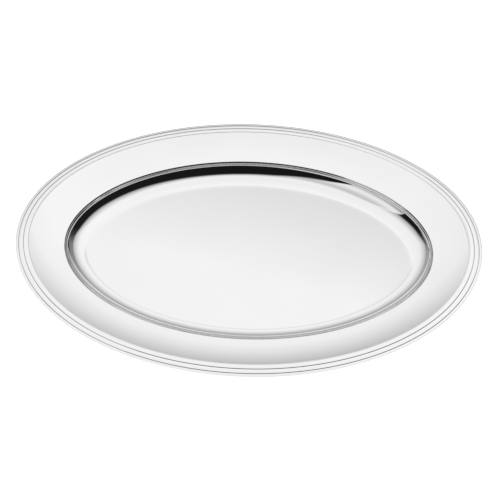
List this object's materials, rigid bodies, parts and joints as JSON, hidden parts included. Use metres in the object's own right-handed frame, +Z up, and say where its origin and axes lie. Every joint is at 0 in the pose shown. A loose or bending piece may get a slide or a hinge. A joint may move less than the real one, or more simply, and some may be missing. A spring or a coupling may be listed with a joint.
{
  "type": "serving salver",
  "caption": "Oval silver-plated serving salver with a flat well, a reeded wall, a wide dished flange and a threaded border.",
  "frame": {"origin": "centre of the flat underside, at the middle of the object's lowest plane", "axes": "+X along the long axis, +Y along the short axis, +Z up out of the well"},
  "size_m": [0.45, 0.313, 0.0249],
  "materials": {
    "silver_plate": "electroplated silver over nickel silver, mirror polished, light use scratches",
    "silver_plate_border": "electroplated silver over nickel silver, drawn and polished, faint tarnish in the grooves",
    "silver_solder": "silver solder under plate, smoothed"
  },
  "bodies": {
    "root": {"dish_body": "silver_plate", "border_moulding": "silver_plate_border", "moulding_solder": "silver_solder", "rim_wire": "silver_plate_border", "wire_solder": "silver_solder"}
  },
  "joints": []
}
